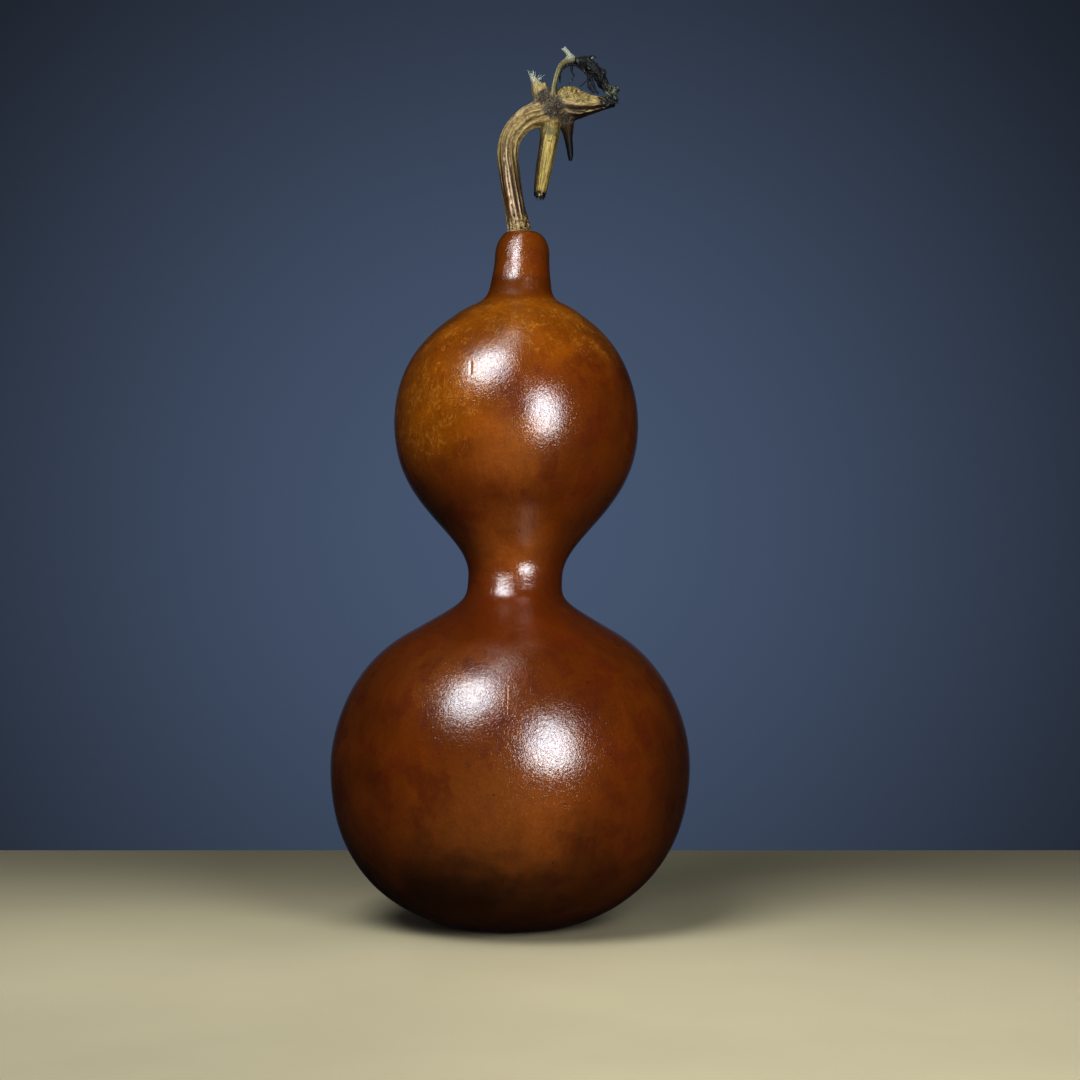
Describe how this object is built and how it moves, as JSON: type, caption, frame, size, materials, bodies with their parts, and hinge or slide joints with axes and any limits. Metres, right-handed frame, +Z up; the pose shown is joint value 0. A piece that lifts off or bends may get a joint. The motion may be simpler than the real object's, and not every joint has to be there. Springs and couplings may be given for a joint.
{
  "type": "dried bottle gourd",
  "caption": "Whole dried waisted gourd with a glossy skin, a ribbed arched stalk, a knot of vine and a withered tendril, standing on a small flat base.",
  "frame": {"origin": "middle of the flat spot at the bottom of the gourd, on the surface that it stands on", "axes": "+Z up along the gourd from its base to its stalk, +X to the side that the vine stub points to, -Y to the front"},
  "size_m": [0.1092, 0.1076, 0.2686],
  "materials": {
    "gourd_skin": "gloss",
    "dry_stem": "matte",
    "withered_tendril": "matte"
  },
  "bodies": {
    "root": {"gourd": "gourd_skin", "stem": "dry_stem", "withered_tendril": "withered_tendril"}
  },
  "joints": []
}
